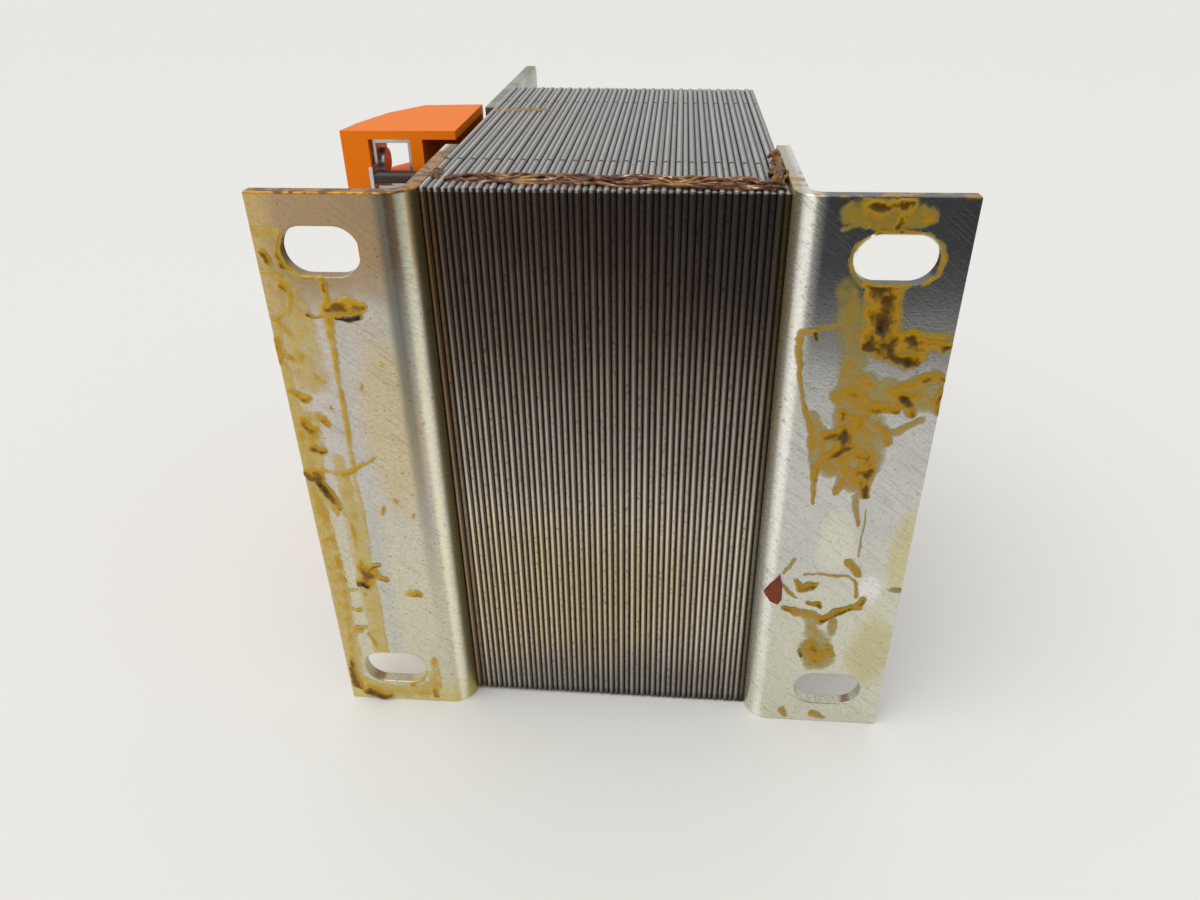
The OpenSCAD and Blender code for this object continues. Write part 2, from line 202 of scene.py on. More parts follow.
def corners(node):
    """A CAD node's lowest and highest corners in millimetres."""
    return [Vector(corner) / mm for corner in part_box(node)]


def add_piece(name, mesh, replaced=(), paint=None):
    """Puts a finished mesh in the scene as a piece of the transformer."""
    piece = bpy.data.objects.new(name, mesh)
    scene.collection.objects.link(piece)
    if paint:
        mesh.materials.clear()
        mesh.materials.append(paint.material)
    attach(piece, "root")
    if replaced:
        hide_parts(*replaced)
    return piece


def finished(source, **inputs):
    """The mesh that an object's modifiers make of it. The object itself is used up."""
    for modifier in source.modifiers:
        if modifier.type == "NODES":
            for item in modifier.node_group.interface.items_tree:
                if item.name in inputs:
                    modifier[item.identifier] = inputs[item.name]
    bpy.context.view_layer.update()
    graph = bpy.context.evaluated_depsgraph_get()
    mesh = bpy.data.meshes.new_from_object(
        source.evaluated_get(graph), preserve_all_data_layers=True, depsgraph=graph
    )
    bpy.data.objects.remove(source)
    return mesh


def i_outline(near, far, low, high):
    return [(near, low), (far, low), (far, high), (near, high)]


def e_outline(tips, back, low, high, limb):
    """An E, whose limbs run from its back to their tips, as points round it in Y and Z."""
    inside = back + limb * (1 if tips > back else -1)
    return [
        (back, low), (tips, low), (tips, low + limb), (inside, low + limb),
        (inside, low + 2 * limb), (tips, low + 2 * limb),
        (tips, high - 2 * limb), (inside, high - 2 * limb),
        (inside, high - limb), (tips, high - limb), (tips, high), (back, high),
    ]


def sheet_mesh(name, outline):
    """A sheet of the outline, rounded at its right face and sharp at its left."""
    bm = bmesh.new()
    flat = bm.faces.new([bm.verts.new((0, y * mm, z * mm)) for y, z in outline])
    bmesh.ops.bevel(bm, geom=bm.verts, offset=sheet_corner * mm, segments=2, affect="VERTICES", profile=0.5)
    flat = max(bm.faces, key=lambda face: face.calc_area())
    bmesh.ops.recalc_face_normals(bm, faces=[flat])
    lifted = bmesh.ops.extrude_face_region(bm, geom=[flat])["geom"]
    bmesh.ops.translate(
        bm, vec=(sheet_thickness * mm, 0, 0), verts=[g for g in lifted if isinstance(g, bmesh.types.BMVert)]
    )
    middle = sheet_thickness * mm / 2
    for side, size in ((1, sheet_rounding), (-1, sheet_arris)):
        rim = [e for e in bm.edges if all((v.co.x - middle) * side > middle * 0.9 for v in e.verts)]
        segments = 3 if side > 0 else 1
        bmesh.ops.bevel(bm, geom=rim, offset=size * mm, segments=segments, affect="EDGES", profile=0.5)
    bmesh.ops.recalc_face_normals(bm, faces=bm.faces)
    mesh = bpy.data.meshes.new(name)
    bm.to_mesh(mesh)
    bm.free()
    return mesh


class Tree:
    """A Geometry Nodes tree that is built up node by node."""

    def __init__(self, name, **inputs):
        self.group = bpy.data.node_groups.new(name, "GeometryNodeTree")
        self.group.interface.new_socket("Geometry", in_out="INPUT", socket_type="NodeSocketGeometry")
        for key, kind in inputs.items():
            self.group.interface.new_socket(key, in_out="INPUT", socket_type="NodeSocket" + kind)
        self.group.interface.new_socket("Geometry", in_out="OUTPUT", socket_type="NodeSocketGeometry")
        self.inputs = self.node("NodeGroupInput").outputs
        self.output = self.node("NodeGroupOutput").inputs[0]

    def node(self, kind, settings=None, inputs=None):
        made = self.group.nodes.new(kind)
        for key, value in (settings or {}).items():
            setattr(made, key, value)
        for key, value in (inputs or {}).items():
            if isinstance(value, bpy.types.NodeSocket):
                self.group.links.new(value, made.inputs[key])
            else:
                made.inputs[key].default_value = value
        return made

    def sum(self, operation, a, b):
        return self.node("ShaderNodeMath", {"operation": operation}, {0: a, 1: b}).outputs[0]

    def close(self, geometry):
        """Ends the tree in real geometry of one material."""
        real = self.node("GeometryNodeRealizeInstances", inputs={0: geometry}).outputs[0]
        painted = self.node(
            "GeometryNodeSetMaterial", inputs={"Geometry": real, "Material": self.inputs["Material"]}
        )
        self.group.links.new(painted.outputs[0], self.output)


def stack_tree():
    """Sets copies of one sheet in a row along X, each slipped a little along Y and Z, in a leaning row."""
    tree = Tree(
        "stack", Count="Int", Pitch="Float", Start="Float", Slip="Float", Lean="Float", Seed="Int",
        Material="Material",
    )
    pitch = tree.node("ShaderNodeCombineXYZ", inputs={0: tree.inputs["Pitch"]}).outputs[0]
    start = tree.node("ShaderNodeCombineXYZ", inputs={0: tree.inputs["Start"]}).outputs[0]
    row = tree.node(
        "GeometryNodeMeshLine", {"mode": "OFFSET"},
        {"Count": tree.inputs["Count"], "Start Location": start, "Offset": pitch},
    ).outputs[0]
    index = tree.node("GeometryNodeInputIndex").outputs[0]
    part = tree.sum("DIVIDE", index, tree.inputs["Count"])
    lean = tree.sum("MULTIPLY", tree.sum("SUBTRACT", 0.5, part), tree.inputs["Lean"])
    slips = []
    for turn in range(3):
        seed = tree.sum("ADD", tree.inputs["Seed"], turn)
        chance = tree.node(
            "FunctionNodeRandomValue", {"data_type": "FLOAT"}, {2: -1.0, 3: 1.0, "ID": index, "Seed": seed}
        )
        slips.append(tree.sum("MULTIPLY", chance.outputs[1], tree.inputs["Slip"]))
    aside = tree.sum("MULTIPLY", slips[0], 0.2)
    rise = tree.sum("ADD", slips[2], lean)
    offset = tree.node("ShaderNodeCombineXYZ", inputs={0: aside, 1: slips[1], 2: rise}).outputs[0]
    placed = tree.node("GeometryNodeSetPosition", inputs={"Geometry": row, "Offset": offset}).outputs[0]
    copies = tree.node(
        "GeometryNodeInstanceOnPoints", inputs={"Points": placed, "Instance": tree.inputs["Geometry"]}
    )
    tree.close(copies.outputs[0])
    return tree.group


core_low = corners("core_i_sheets_near")[0]
core_high = corners("core_e_sheets_near")[1]
core_top = corners("core_i_sheets_near")[1].z
sheet_pitch = (core_high.x - core_low.x - sheet_thickness) / (2 * sheet_pairs - 1)
limb = corners("core_i_sheets_near")[1].y - core_low.y


def punched_steel(name, ridge_light, specks, joint):
    """Punched edges, with a painted highlight on each ridge and painted shade in the gaps between them, the
    near face painted darker and browner towards its upper end as painted reflection.
    """
    paint = Paint(name, metallic=0.7, roughness=0.36)
    along = (paint.x - core_low.x) / sheet_pitch
    sheet = paint.sum("FLOOR", along, 0)
    across = along - sheet
    own = paint.node("ShaderNodeTexWhiteNoise", {"noise_dimensions": "1D"}, {"W": sheet}).outputs[0]
    own = Value(paint, own)
    grain = paint.noise(0.3, detail=4, stretch=(1, 1, 1.6), roughness=0.75)
    cloud = paint.noise(9, detail=3)
    # Where each sheet's ridge takes its painted highlight; between the ridges lies painted shade.
    ridge = paint.band(across, 0.16, 0.58, 0.14)
    pits = paint.step(grain, 0.47 + 0.05 * (1 - specks), 0.4 - 0.06 * (1 - specks))
    direction = paint.node("ShaderNodeTexCoord").outputs["Normal"]
    facing = paint.node("ShaderNodeSeparateXYZ", inputs={0: direction})
    on_top = paint.step(Value(paint, facing.outputs[2]), 0.5, 0.8)
    on_top = on_top * paint.step(paint.z, core_top - 1, core_top - 0.4)
    near = paint.step(paint.y, core_low.y + 1.2, core_low.y + 0.3)
    # Painted reflection: the near face is painted light at the bottom, darker and browner towards its upper
    # end, and greyer at the very bottom.
    height = paint.z + (cloud - 0.5) * 10
    side = paint.mix(rgb(240, 227, 204), rgb(200, 190, 175), paint.step(height, -6, 5))
    side = paint.mix(side, rgb(140, 124, 109), paint.step(height, 3, 20))
    side = paint.mix(side, rgb(100, 84, 73), paint.step(height, 15, 30))
    side = paint.mix(side, rgb(176, 168, 158), paint.step(height, -20, -32))
    yellowed = paint.spot(paint.x + (cloud - 0.5) * 12, height, (-6, -15), (20, 14))
    side = paint.mix(side, rgb(226, 200, 128), yellowed * 0.5)
    # Painted reflection: darker still towards the upper right of the near face.
    side = paint.mix(side, rgb(70, 66, 66), paint.step(paint.x + height, 22, 44) * 0.7)
    side = paint.mix(side, rgb(136, 98, 34), paint.step(paint.x, -15.7, -16.8) * 0.75)
    side = paint.mix(side, rgb(104, 92, 52), paint.step(paint.x, 16.0, 17) * 0.8)
    # A painted highlight along the near top corner, where the cut corners of the sheets catch the light.
    corner = paint.step(paint.z, core_top - 0.42, core_top - 0.3) * near
    side = paint.mix(side, rgb(206, 204, 198), corner * 0.8)
    top = paint.mix(rgb(222, 219, 217), rgb(196, 193, 190), cloud)
    top = paint.mix(top, rgb(30, 26, 24), paint.band(paint.y, joint - 0.28, joint + 0.28, 0.1))
    color = paint.mix(rgb(150, 148, 147), side, near)
    color = paint.mix(color, top, on_top)
    light = (own * 0.2 + ridge_light) * (1 - pits * (0.25 + 0.25 * specks))
    color = paint.mix((0, 0, 0), color, light)
    # Painted shade in the gaps between the sheets, a little lighter towards the bottom of the near face.
    gap_shade = paint.mix(rgb(52, 42, 36), rgb(70, 62, 55), paint.step(paint.z, 10, -10))
    gap_shade = paint.mix(gap_shade, rgb(140, 136, 132), on_top)
    color = paint.mix(gap_shade, color, ridge * 0.92 + 0.08)
    # Painted shade along the bottom of the core, where it meets the table.
    color = paint.mix(color, rgb(24, 19, 16), paint.step(paint.z, core_low.z + 1.5, core_low.z + 0.2) * 0.6)
    paint.set(Base_Color=color, Roughness=grain * 0.25 + 0.26)
    paint.bump(grain, 0.5, 0.08)
    return paint


bright_steel = punched_steel("bright_punched_steel", 0.84, 0, corners("core_i_sheets_near")[1].y)
dull_steel = punched_steel("dull_punched_steel", 0.7, 1, corners("core_i_sheets_far")[0].y)
stack_group = stack_tree()
for node, bar, tips_near, paint, seed in (
    ("core_i_sheets_near", True, True, bright_steel, 3),
    ("core_e_sheets_far", False, True, bright_steel, 3),
    ("core_e_sheets_near", False, False, dull_steel, 11),
    ("core_i_sheets_far", True, False, dull_steel, 11),
):
    low, high = corners(node)
    if bar:
        outline = i_outline(low.y, high.y, low.z, high.z)
    elif tips_near:
        outline = e_outline(low.y, high.y, low.z, high.z, limb)
    else:
        outline = e_outline(high.y, low.y, low.z, high.z, limb)
    maker = bpy.data.objects.new(node + "_maker", sheet_mesh(node + "_sheet", outline))
    scene.collection.objects.link(maker)
    maker.modifiers.new("stack", "NODES").node_group = stack_group
    mesh = finished(
        maker, Count=sheet_pairs, Pitch=2 * sheet_pitch * mm, Start=low.x * mm, Slip=sheet_slip * mm,
        Lean=stack_lean * mm, Seed=seed, Material=paint.material,
    )
    add_piece("punched_" + node, mesh, replaced=[node])


# Four welds hold the core together, and it to the feet and the plate. They were run with a wandering
# hand over varnished sheets, so each is a bundle of ropy runs of brown metal. The one at the plate lies
# under dried varnish.
def rope_tree():
    """Gives each line of a mesh a round section, thicker and thinner along it."""
    tree = Tree("weld_runs", Radius="Float", Uneven="Float", Wave="Float", Material="Material")
    line = tree.node("GeometryNodeMeshToCurve", inputs={0: tree.inputs["Geometry"]}).outputs[0]
    scale = tree.sum("DIVIDE", 1.0, tree.inputs["Wave"])
    noise = tree.node("ShaderNodeTexNoise", {"noise_dimensions": "3D"}, {"Scale": scale, "Detail": 2.0})
    wave = noise.outputs[0]
    swing = tree.sum("MULTIPLY", tree.sum("SUBTRACT", wave, 0.5), tree.inputs["Uneven"])
    radius = tree.sum("MULTIPLY", tree.sum("ADD", swing, 1.0), tree.inputs["Radius"])
    ring = tree.node("GeometryNodeCurvePrimitiveCircle", inputs={"Resolution": 9, "Radius": 1.0}).outputs[0]
    skin = tree.node(
        "GeometryNodeCurveToMesh",
        inputs={"Curve": line, "Profile Curve": ring, "Scale": radius, "Fill Caps": True},
    ).outputs[0]
    smooth = tree.node("GeometryNodeSetShadeSmooth", inputs={0: skin}).outputs[0]
    tree.close(smooth)
    return tree.group


def run_lines(start, end, runs, spread, rise, wander, seed):
    """Wandering lines from start to end, side by side over a bead that is higher in the middle."""
    chance = np.random.default_rng(seed)
    start, end = np.array(start, float), np.array(end, float)
    length = np.linalg.norm(end - start)
    steps = int(length / 0.22)
    way = (end - start) / length
    aside = np.array((-way[1], way[0], 0))
    points, edges = [], []
    for lane in np.linspace(-1, 1, runs):
        first = len(points)
        begin, stop = chance.uniform(0, 0.12), chance.uniform(0.88, 1)
        turns = chance.uniform(0, 2 * np.pi, 4)
        for t in np.linspace(begin, stop, steps):
            d = t * length
            sway = np.sin(d / 2.6 + turns[0]) + 0.6 * np.sin(d / 0.9 + turns[1])
            place = np.clip(lane * 0.75 + sway * wander, -1, 1)
            lift = rise * np.sqrt(max(0, 1 - place * place)) * (0.8 + 0.3 * np.sin(d / 0.9 + turns[2]))
            lift -= rise * max(0, 1 - 6 * min(t - begin, stop - t) - 0.4)
            points.append(start + way * d + aside * place * spread + np.array((0, 0, lift)))
        edges += [(n, n + 1) for n in range(first, len(points) - 1)]
    return points, edges


def weld(name, replaced, runs, radius, paint):
    points, edges = [], []
    for more_points, more_edges in runs:
        edges += [(a + len(points), b + len(points)) for a, b in more_edges]
        points += more_points
    mesh = bpy.data.meshes.new(name)
    mesh.from_pydata([tuple(p * mm) for p in points], edges, [])
    maker = bpy.data.objects.new(name + "_maker", mesh)
    scene.collection.objects.link(maker)
    maker.modifiers.new("runs", "NODES").node_group = rope_group
    mesh = finished(
        maker, Radius=radius * mm, Uneven=run_unevenness, Wave=run_wave * mm, Material=paint.material
    )
    return add_piece(name, mesh, replaced=[replaced])


run_unevenness = 1.6
run_wave = 1.4
rope_group = rope_tree()
weld_metal = Paint("weld_metal", metallic=0.35, roughness=0.38)
scale = weld_metal.noise(0.7, detail=4, stretch=(2.4, 0.7, 0.7), roughness=0.65)
tarnish = weld_metal.noise(2.6, detail=2)
burnt = weld_metal.mix(rgb(50, 32, 20), rgb(150, 98, 66), weld_metal.step(scale, 0.38, 0.62))
burnt = weld_metal.mix(burnt, rgb(178, 138, 74), weld_metal.step(tarnish, 0.5, 0.66) * 0.6)
burnt = weld_metal.mix(burnt, rgb(62, 44, 22), weld_metal.step(weld_metal.x, -13, -17) * 0.6)
# The pale pink-white flecks on the weld runs are painted glints.
weld_metal.set(
    Base_Color=weld_metal.mix(burnt, rgb(232, 206, 194), weld_metal.step(scale, 0.6, 0.66)),
    Roughness=scale * 0.4 + 0.14,
)
weld_metal.bump(scale, 0.6, 0.15)

seam_low, seam_high = corners("corner_weld")
seam_z = seam_low.z - 0.05
weld("seam_across", "corner_weld", [
    run_lines((seam_low.x, 5.9, seam_z), (seam_high.x - 0.6, 4.2, seam_z), 13, 1.5, 0.3, 0.22, 5),
    run_lines((seam_low.x + 0.5, 5.6, seam_z), (seam_high.x - 0.3, 4.3, seam_z), 9, 1.0, 0.55, 0.5, 8),
], 0.18, weld_metal)
rusty = Paint("rusty_weld", metallic=0.2, roughness=0.5)
scale = rusty.noise(0.7, detail=4, roughness=0.7)
rust = rusty.mix(rgb(58, 38, 20), rgb(150, 98, 42), rusty.step(scale, 0.38, 0.6))
rust = rusty.mix(rust, rgb(214, 140, 50), rusty.step(scale, 0.62, 0.72))
rusty.set(Base_Color=rust, Roughness=scale * 0.5 + 0.2)
rusty.bump(scale, 0.8, 0.2)
weld("seam_right_leg", "foot_weld_right", [
    run_lines((15.9, 4.6, seam_z), (17.0, 9.5, seam_z), 8, 0.9, 0.5, 0.5, 2),
    run_lines((16.8, 8.5, seam_z), (17.0, 14.8, seam_z - 0.1), 6, 0.4, 0.35, 0.5, 4),
    run_lines((16.4, 14.2, seam_z + 0.3), (17.2, 15.2, seam_z + 0.6), 4, 0.35, 0.3, 0.4, 9),
], 0.2, rusty)
weld("seam_left_leg", "foot_weld_left", [
    run_lines((-16.9, 5.4, seam_z), (-17.1, 9.4, seam_z), 6, 0.5, 0.3, 0.5, 6),
], 0.2, rusty)
dried = Paint("dried_varnish", roughness=0.4)
scale = dried.noise(0.6, detail=4, roughness=0.7)
dried.set(Base_Color=dried.mix(rgb(112, 86, 48), rgb(178, 152, 104), scale), Roughness=scale * 0.5 + 0.15)
dried.bump(scale, 0.8, 0.2)
weld("seam_plate", "plate_weld", [
    run_lines((-17.4, 40, seam_z), (-9.9, 40.4, seam_z), 7, 0.8, 0.06, 0.3, 7),
], 0.19, dried)


# The feet are strips of zinc plated steel, punched with two slots each and folded once, with the leg
# against the side of the core. The plating is brushed by handling, and browned and yellowed by varnish.
# Each bend carries a painted highlight and painted shade, and the right foot is painted darker at its top as
# painted reflection.
def softened(node, name, width, paint):
    """A copy of a CAD piece with its edges broken, which takes its place."""
    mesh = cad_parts[node].data.copy()
    bm = bmesh.new()
    bm.from_mesh(mesh)
    bmesh.ops.remove_doubles(bm, verts=bm.verts, dist=0.0005 * mm)
    bmesh.ops.dissolve_limit(bm, angle_limit=np.radians(0.5), verts=bm.verts, edges=bm.edges)
    for edge in bm.edges:
        edge.smooth = len(edge.link_faces) == 2 and edge.calc_face_angle(0) < np.radians(20)
    for face in bm.faces:
        face.smooth = True
    bm.to_mesh(mesh)
    bm.free()
    maker = bpy.data.objects.new(name + "_maker", mesh)
    scene.collection.objects.link(maker)
    bevel = maker.modifiers.new("edges", "BEVEL")
    bevel.width = width * mm
    bevel.segments = 2
    bevel.limit_method = "ANGLE"
    bevel.angle_limit = np.radians(35)
    bevel.use_clamp_overlap = True
    weighted = maker.modifiers.new("normals", "WEIGHTED_NORMAL")
    weighted.keep_sharp = True
    return add_piece(name, finished(maker), replaced=[node], paint=paint)


def zinc_plate(name, roughness):
    """Plated steel with brush marks, long scratches and specks."""
    paint = Paint(name, metallic=0.8)
    paint.brush = paint.noise(0.22, detail=3, stretch=(5, 5, 0.8), roughness=0.7)
    paint.cloud = paint.noise(5, detail=3)
    slant = paint.sum("ADD", paint.x * 0.8, paint.z)
    scratch = Value(paint, paint.node("ShaderNodeTexNoise", {"noise_dimensions": "2D"}, {
        "Vector": paint.node(
            "ShaderNodeCombineXYZ", inputs={0: slant * 3.2, 1: (paint.x - paint.z) * 0.12}
        ).outputs[0],
        "Scale": 1, "Detail": 2,
    }).outputs[0])
    paint.scratch = paint.step(scratch, 0.6, 0.68)
    paint.speck = paint.step(paint.noise(0.42, detail=1), 0.66, 0.72)
    paint.grain = paint.step(paint.noise(0.5, detail=3, stretch=(1, 1, 0.7), roughness=0.8), 0.3, 0.7)
    paint.bump(paint.brush + paint.scratch * 0.4 + paint.noise(0.35, detail=3) * 0.6, 0.3, 0.05)
    paint.set(Roughness=paint.cloud * 0.14 + paint.brush * 0.12 + roughness)
    return paint


foot_end = corners("foot_bracket_left")[1].z
left_zinc = zinc_plate("left_foot_zinc", 0.17)
p = left_zinc
shade = p.mix(rgb(226, 217, 208), rgb(206, 200, 192), p.cloud)
# Creamier towards the bottom, and browner at the top, most of all towards the left.
shade = p.mix(shade, rgb(222, 219, 193), p.step(p.z + p.cloud * 12, 14, -10))
shade = p.mix(shade, rgb(184, 154, 114), p.step(p.z + p.cloud * 5 - p.x * 0.3, 30, 36))
shade = p.mix(shade, rgb(222, 188, 116), p.step(p.x + p.cloud * 2, -29.5, -32.5) * 0.8)
tan_stain = p.spot(p.x + p.cloud * 2, p.z + p.cloud * 6, (-21.6, 11), (4, 14))
shade = p.mix(shade, rgb(220, 202, 160), tan_stain * 0.9)
bare_strip = p.band(p.x + p.cloud * 2, -26.6, -25, 1.2) * p.step(p.z, 10, -2)
shade = p.mix(shade, rgb(196, 200, 202), bare_strip * 0.6)
# Painted shade where the bend begins, darker towards the top.
shade = p.mix(shade, rgb(84, 90, 88), p.band(p.x, -21.2, -19.9, 0.5) * p.step(p.z, -30, 20) * 0.75)
# A painted highlight along the bend.
shade = p.mix(shade, rgb(255, 252, 222), p.band(p.x, -19.3, -18.5, 0.3))
# Beyond the highlight the bend is painted dark olive: painted reflection of the core's dark side, with the
# colour of varnish.
shade = p.mix(shade, rgb(104, 98, 44), p.step(p.x, -18.45, -18) * 0.9)
shade = p.mix(shade, rgb(226, 210, 110), p.step(p.z + p.cloud * 4, -26, -31) * 0.7)
shade = p.mix(shade, rgb(150, 140, 122), p.grain * 0.35 + p.scratch * 0.2)
shade = p.mix(shade, rgb(112, 96, 76), p.speck * 0.5)
# The painted highlight along the bend again, laid over the grain and specks.
shade = p.mix(shade, rgb(255, 253, 226), p.band(p.x, -19.2, -18.6, 0.3) * 0.7)
upper_edge = p.step(p.z, foot_end - 0.3, foot_end - 0.05)
amber = p.mix(rgb(196, 140, 44), rgb(110, 74, 26), p.step(p.noise(1.1, detail=3), 0.45, 0.6))
shade = p.mix(shade, amber, upper_edge * p.step(p.y + p.cloud * 3, 19, 17))
p.set(Base_Color=shade)

right_zinc = zinc_plate("right_foot_zinc", 0.14)
p = right_zinc
shade = p.mix(rgb(222, 221, 216), rgb(208, 206, 200), p.cloud)
# Painted reflection: beyond the bend the flat of the foot is painted dark grey towards the top.
shade = p.mix(shade, rgb(108, 108, 114), p.step(p.z + p.cloud * 6, 14, 31) * p.step(p.x, 19.6, 20.6))
# Creamier towards the lower right.
shade = p.mix(shade, rgb(226, 224, 200), p.step(p.z - p.x * 0.6 + p.cloud * 10, -14, -28) * 0.8)
# A painted highlight along the bend.
shade = p.mix(shade, rgb(255, 253, 244), p.band(p.x, 18.5, 19.4, 0.35))
shade = p.mix(shade, rgb(202, 192, 120), p.spot(p.x + p.cloud * 3, p.z, (33, -21), (3.4, 7)) * 0.6)
shade = p.mix(shade, rgb(214, 206, 140), p.spot(p.x, p.z, (33, -6), (1.8, 7)) * 0.7)
shade = p.mix(shade, rgb(206, 184, 112), p.step(p.x + p.cloud, 19, 18) * p.step(p.z, -5, 6) * 0.7)
shade = p.mix(shade, rgb(244, 243, 238), p.spot(p.x, p.z + p.cloud, (30.2, -11), (1.6, 2.5)))
shade = p.mix(shade, rgb(232, 230, 210), p.spot(p.x + p.cloud, p.z, (26.2, -5), (2.6, 5.6)) * 0.9)
shade = p.mix(shade, rgb(150, 138, 112), p.spot(p.x, p.z, (33.4, -11.4), (1.5, 0.5)))
shade = p.mix(shade, rgb(140, 138, 132), p.grain * 0.25 + p.scratch * 0.2)
shade = p.mix(shade, rgb(120, 110, 92), p.speck * 0.5)
upper_edge = p.step(p.z, foot_end - 0.3, foot_end - 0.05)
amber = p.step(p.noise(1.6, detail=3), 0.5, 0.56) * p.band(p.y, -1, 9, 1.5)
shade = p.mix(shade, rgb(200, 150, 50), upper_edge * amber * 0.9)
p.set(Base_Color=shade)
softened("foot_bracket_left", "foot_left", 0.12, left_zinc)
softened("foot_bracket_right", "foot_right", 0.12, right_zinc)


# Impregnating varnish ran down the near faces of both feet and set there, as thin yellow films, amber
# runs and thick brown lumps. Each foot's varnish is one skin, thickest along the middle of each run.
bend_radius = 3
bend_middle = -corners("foot_bracket_left")[1].x + bend_radius
foot_outer = corners("foot_bracket_right")[1].x
slot_middle, slot_reach, slot_radius = (27.25, 27.5), 1.5, 2.5
varnish_cell = 0.15
varnish_thick = 0.42


def value_noise(x, z, size, seed):
    """Smooth noise between -1 and 1 over a plane."""
    table = np.random.default_rng(seed).uniform(-1, 1, (256, 256))
    u, v = x / size + 100, z / size + 100
    i, j = np.floor(u).astype(int), np.floor(v).astype(int)
    s, t = (w * w * (3 - 2 * w) for w in (u - i, v - j))
    low = table[i % 256, j % 256] * (1 - s) + table[(i + 1) % 256, j % 256] * s
    high = table[i % 256, (j + 1) % 256] * (1 - s) + table[(i + 1) % 256, (j + 1) % 256] * s
    return low * (1 - t) + high * t


def run_depth(x, z, points, depth):
    """Depth of varnish, 1 at most, along a run given as places and half widths."""
    best = np.full(x.shape, -9.0)
    for (x0, z0, r0), (x1, z1, r1) in zip(points, points[1:] or points):
        span = (x1 - x0) ** 2 + (z1 - z0) ** 2
        t = np.clip(((x - x0) * (x1 - x0) + (z - z0) * (z1 - z0)) / max(span, 1e-6), 0, 1)
        away = np.hypot(x - x0 - t * (x1 - x0), z - z0 - t * (z1 - z0))
        best = np.maximum(best, 1 - away / (r0 + t * (r1 - r0)))
    return np.where(best > 0, depth * np.tanh(1.8 * best), best * 0.6)


def varnish_skin(name, side, runs, paint, seed):
    """A closed skin over one foot, thick where the runs are and dipping into the metal round them."""
    xs = np.arange(bend_middle - bend_radius + 0.4, foot_outer - 0.05, varnish_cell)
    zs = np.arange(-foot_end + 0.1, foot_end - 0.05, varnish_cell)
    x, z = np.meshgrid(xs, zs, indexing="ij")
    ragged_x = x + 0.12 * value_noise(x, z, 1.1, seed) + 0.08 * value_noise(x, z, 0.4, seed + 1)
    ragged_z = z + 0.25 * value_noise(x, z, 1.1, seed + 2) + 0.1 * value_noise(x, z, 0.4, seed + 3)
    depth = np.full(x.shape, -1.0)
    for run in runs:
        run_points = [(side * a, b, r) for a, b, r in run[1:]]
        depth = np.maximum(depth, run_depth(ragged_x, ragged_z, run_points, run[0]))
    lumps = 0.35 * value_noise(x, z, 1.1, seed + 4) + 0.2 * value_noise(x, z, 0.45, seed + 5)
    depth = np.where(depth > 0, depth * (1 + lumps) - 0.05, depth)
    for end in (-1, 1):
        off_slot = np.hypot(
            np.maximum(abs(x - slot_middle[0]) - slot_reach, 0), z - end * slot_middle[1]
        ) - slot_radius
        depth = np.minimum(depth, (off_slot + 0.2) * 2.5)
    in_bend = np.clip(bend_middle - x, 0, bend_radius - 0.01)
    drop = np.sqrt(bend_radius ** 2 - in_bend ** 2)
    out_x, out_y = -in_bend / bend_radius, -drop / bend_radius
    height = np.where(depth > 0, varnish_thick * depth, np.maximum(depth, -0.5) * 0.12)
    kept = depth > -0.5
    kept = kept[:-1, :-1] & kept[1:, :-1] & kept[:-1, 1:] & kept[1:, 1:]
    number = np.arange(x.size).reshape(x.shape)
    quads = np.stack([number[:-1, :-1], number[1:, :-1], number[1:, 1:], number[:-1, 1:]], -1)[kept]
    used, quads = np.unique(quads, return_inverse=True)
    quads = quads.reshape(-1, 4)
    count = len(used)
    layers = []
    for lift in (height, np.full(x.shape, -0.15)):
        layer = np.stack([(x + out_x * lift) * side, bend_radius - drop + out_y * lift, z], -1)
        layers.append(layer.reshape(-1, 3)[used] * mm)
    edges = np.concatenate([quads[:, [a, (a + 1) % 4]] for a in range(4)])
    codes = edges[:, 0] * count + edges[:, 1]
    rim = edges[~np.isin(codes, edges[:, 1] * count + edges[:, 0])]
    walls = np.stack([rim[:, 1], rim[:, 0], rim[:, 0] + count, rim[:, 1] + count], -1)
    mesh = bpy.data.meshes.new(name)
    mesh.from_pydata(
        np.concatenate(layers).tolist(), [], np.concatenate([quads, quads[:, ::-1] + count, walls]).tolist()
    )
    mesh.attributes.new("depth", "FLOAT", "POINT").data.foreach_set(
        "value", np.concatenate([depth.ravel()[used]] * 2).astype(np.float32)
    )
    bm = bmesh.new()
    bm.from_mesh(mesh)
    bmesh.ops.recalc_face_normals(bm, faces=bm.faces)
    for face in bm.faces:
        face.smooth = True
    bm.to_mesh(mesh)
    bm.free()
    return add_piece(name, mesh, paint=paint)


def varnish(name, light, amber, brown):
    """Clear varnish: a pale film where it is thin, through amber to brown where it is thick."""
    paint = Paint(name, IOR=1.5, Specular_IOR_Level=0.3)
    depth = Value(paint, paint.node("ShaderNodeAttribute", {"attribute_name": "depth"}).outputs["Fac"])
    mottle = paint.noise(1.4, detail=3)
    fine = paint.noise(0.4, detail=3, roughness=0.7)
    deep = depth + (mottle - 0.5) * 0.8 + (fine - 0.5) * 0.5
    color = paint.mix(light, amber, paint.step(deep, 0.1, 0.5))
    color = paint.mix(color, brown, paint.step(deep, 0.45, 0.9))
    color = paint.mix(color, rgb(42, 28, 8), paint.step(deep, 0.95, 1.25))
    paint.set(
        Base_Color=color,
        Alpha=paint.step(depth, -0.05, 0.2) * 0.55 + 0.4 * paint.step(deep, 0.2, 0.6) + 0.04,
        Roughness=fine * 0.25 + 0.06,
    )
    paint.bump(fine + mottle * 0.5, 0.6, 0.15)
    return paint


